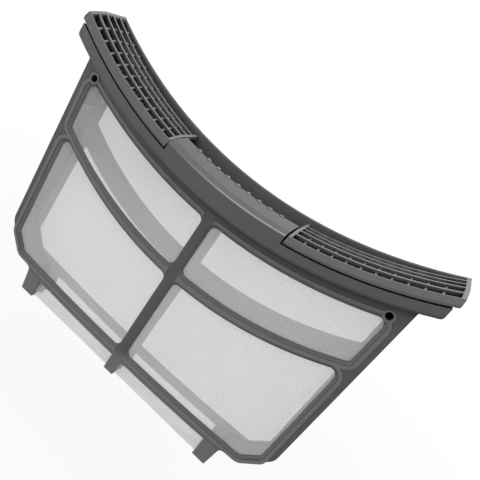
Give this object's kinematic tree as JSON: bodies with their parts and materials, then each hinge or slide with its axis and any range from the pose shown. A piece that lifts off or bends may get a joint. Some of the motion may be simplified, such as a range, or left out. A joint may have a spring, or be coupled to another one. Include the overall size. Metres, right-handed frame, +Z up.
{
  "type": "tumble dryer lint filter",
  "caption": "Pocket lint filter for a tumble dryer: two mesh half trays hinged at the foot, with a curved flange, a grip strip over a finger recess and slotted inlet grilles.",
  "frame": {"origin": "on the parting plane of the two halves, midway between the sides, level with the undersides of the feet", "axes": "+X to the right seen from the front, +Y from the grip side to the back wall, +Z up out of the dryer's slot"},
  "size_m": [0.335, 0.0474, 0.2373],
  "materials": {
    "frame_plastic": "satin moulded, dark grey",
    "grille_plastic": "satin moulded, dark grey",
    "filter_mesh": "fine woven, light grey, see-through"
  },
  "bodies": {
    "rear_half": {"rear_frame": "frame_plastic", "rear_mesh": "filter_mesh", "left_grille": "grille_plastic", "right_grille": "grille_plastic"},
    "front_half": {"front_frame": "frame_plastic", "front_mesh": "filter_mesh"}
  },
  "joints": [
    {"name": "front_half_hinge", "type": "hinge", "parent": "rear_half", "child": "front_half", "pos_m": [0, 0, 0.0032], "axis": [1, 0, 0], "range_deg": [0, 135]}
  ]
}
